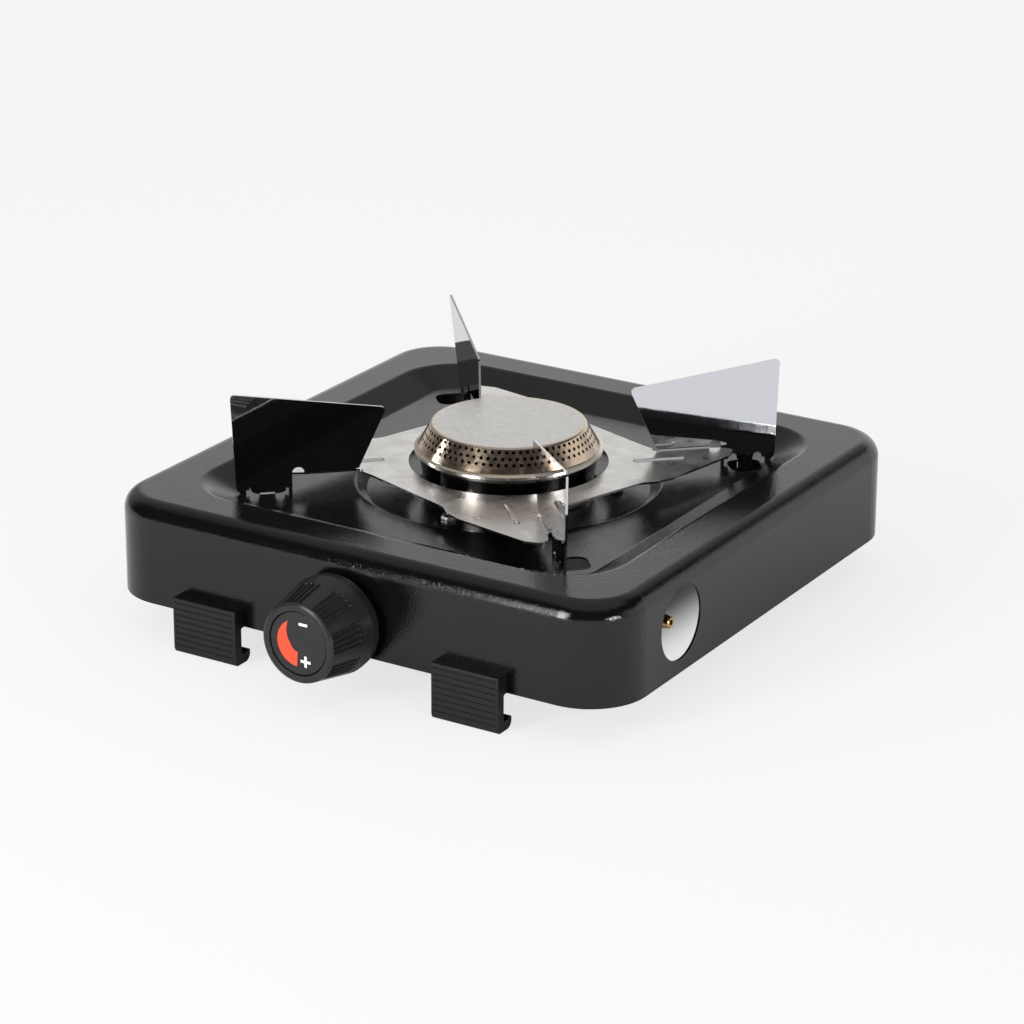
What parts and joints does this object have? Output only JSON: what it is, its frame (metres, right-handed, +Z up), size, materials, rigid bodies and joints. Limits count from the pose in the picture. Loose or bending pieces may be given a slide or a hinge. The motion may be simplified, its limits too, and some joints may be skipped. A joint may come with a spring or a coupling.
{
  "type": "single-burner gas hob",
  "caption": "Low square table-top gas hob with one round burner, a four-finned pan support, a front knob and clip-on feet.",
  "frame": {"origin": "middle of the whole hob, knob and feet included, at the level it stands on", "axes": "+Z up, +X to the user's right through the hose hole, -Y towards the user through the knob"},
  "size_m": [0.27, 0.3102, 0.1063],
  "materials": {
    "enamel": "glossy black enamel with a fine orange peel",
    "chrome": "bright plated sheet",
    "cap_steel": "satin, faintly bronzed by heat",
    "burner_steel": "polished dark steel",
    "zinc_steel": "zinc plated",
    "brass": "turned and pressed brass",
    "pipe": "drawn tube, satin",
    "knob_black": "moulded, satin",
    "dial_black": "smooth disc with printed marks",
    "foot_black": "moulded, ribbed"
  },
  "bodies": {
    "hob": {"casing": "enamel", "burner_bowl": "burner_steel", "mixing_tube": "burner_steel", "burner_screws": "zinc_steel", "burner_nuts": "zinc_steel", "burner_bracket": "zinc_steel", "valve_screws": "zinc_steel", "hose_tail_bracket": "zinc_steel", "foot_screws": "zinc_steel", "valve_cover": "brass", "valve_body": "brass", "jet": "brass", "pipe_nuts": "brass", "hose_tail": "brass", "hose_tail_nut": "brass", "gas_pipe": "pipe", "foot_front_left": "foot_black", "foot_front_right": "foot_black", "foot_rear_left": "foot_black", "foot_rear_right": "foot_black"},
    "pan_support": {"pan_support": "chrome"},
    "burner_cap": {"burner_cap": "cap_steel"},
    "tap_plug": {"valve_plug": "brass", "plug_spring": "zinc_steel"},
    "knob": {"knob": "knob_black", "knob_disc": "dial_black", "knob_clip": "zinc_steel", "valve_spindle": "brass"}
  },
  "joints": [
    {"name": "tap_turn", "type": "hinge", "parent": "hob", "child": "tap_plug", "pos_m": [-0.0035, -0.1251, 0.0325], "axis": [0, -1, 0], "range_deg": [0, 270]},
    {"name": "knob_push", "type": "slide", "parent": "tap_plug", "child": "knob", "axis": [0, 1, 0], "range_m": [0, 0.0025], "stiffness_N_per_m": 1500, "springref_m": -0.003, "deforming": ["plug_spring"]},
    {"name": "pan_support_lift", "type": "slide", "parent": "hob", "child": "pan_support", "axis": [0, 0, 1], "range_m": [0, 0.06]},
    {"name": "burner_cap_lift", "type": "slide", "parent": "hob", "child": "burner_cap", "axis": [0, 0, 1], "range_m": [0, 0.03]}
  ]
}
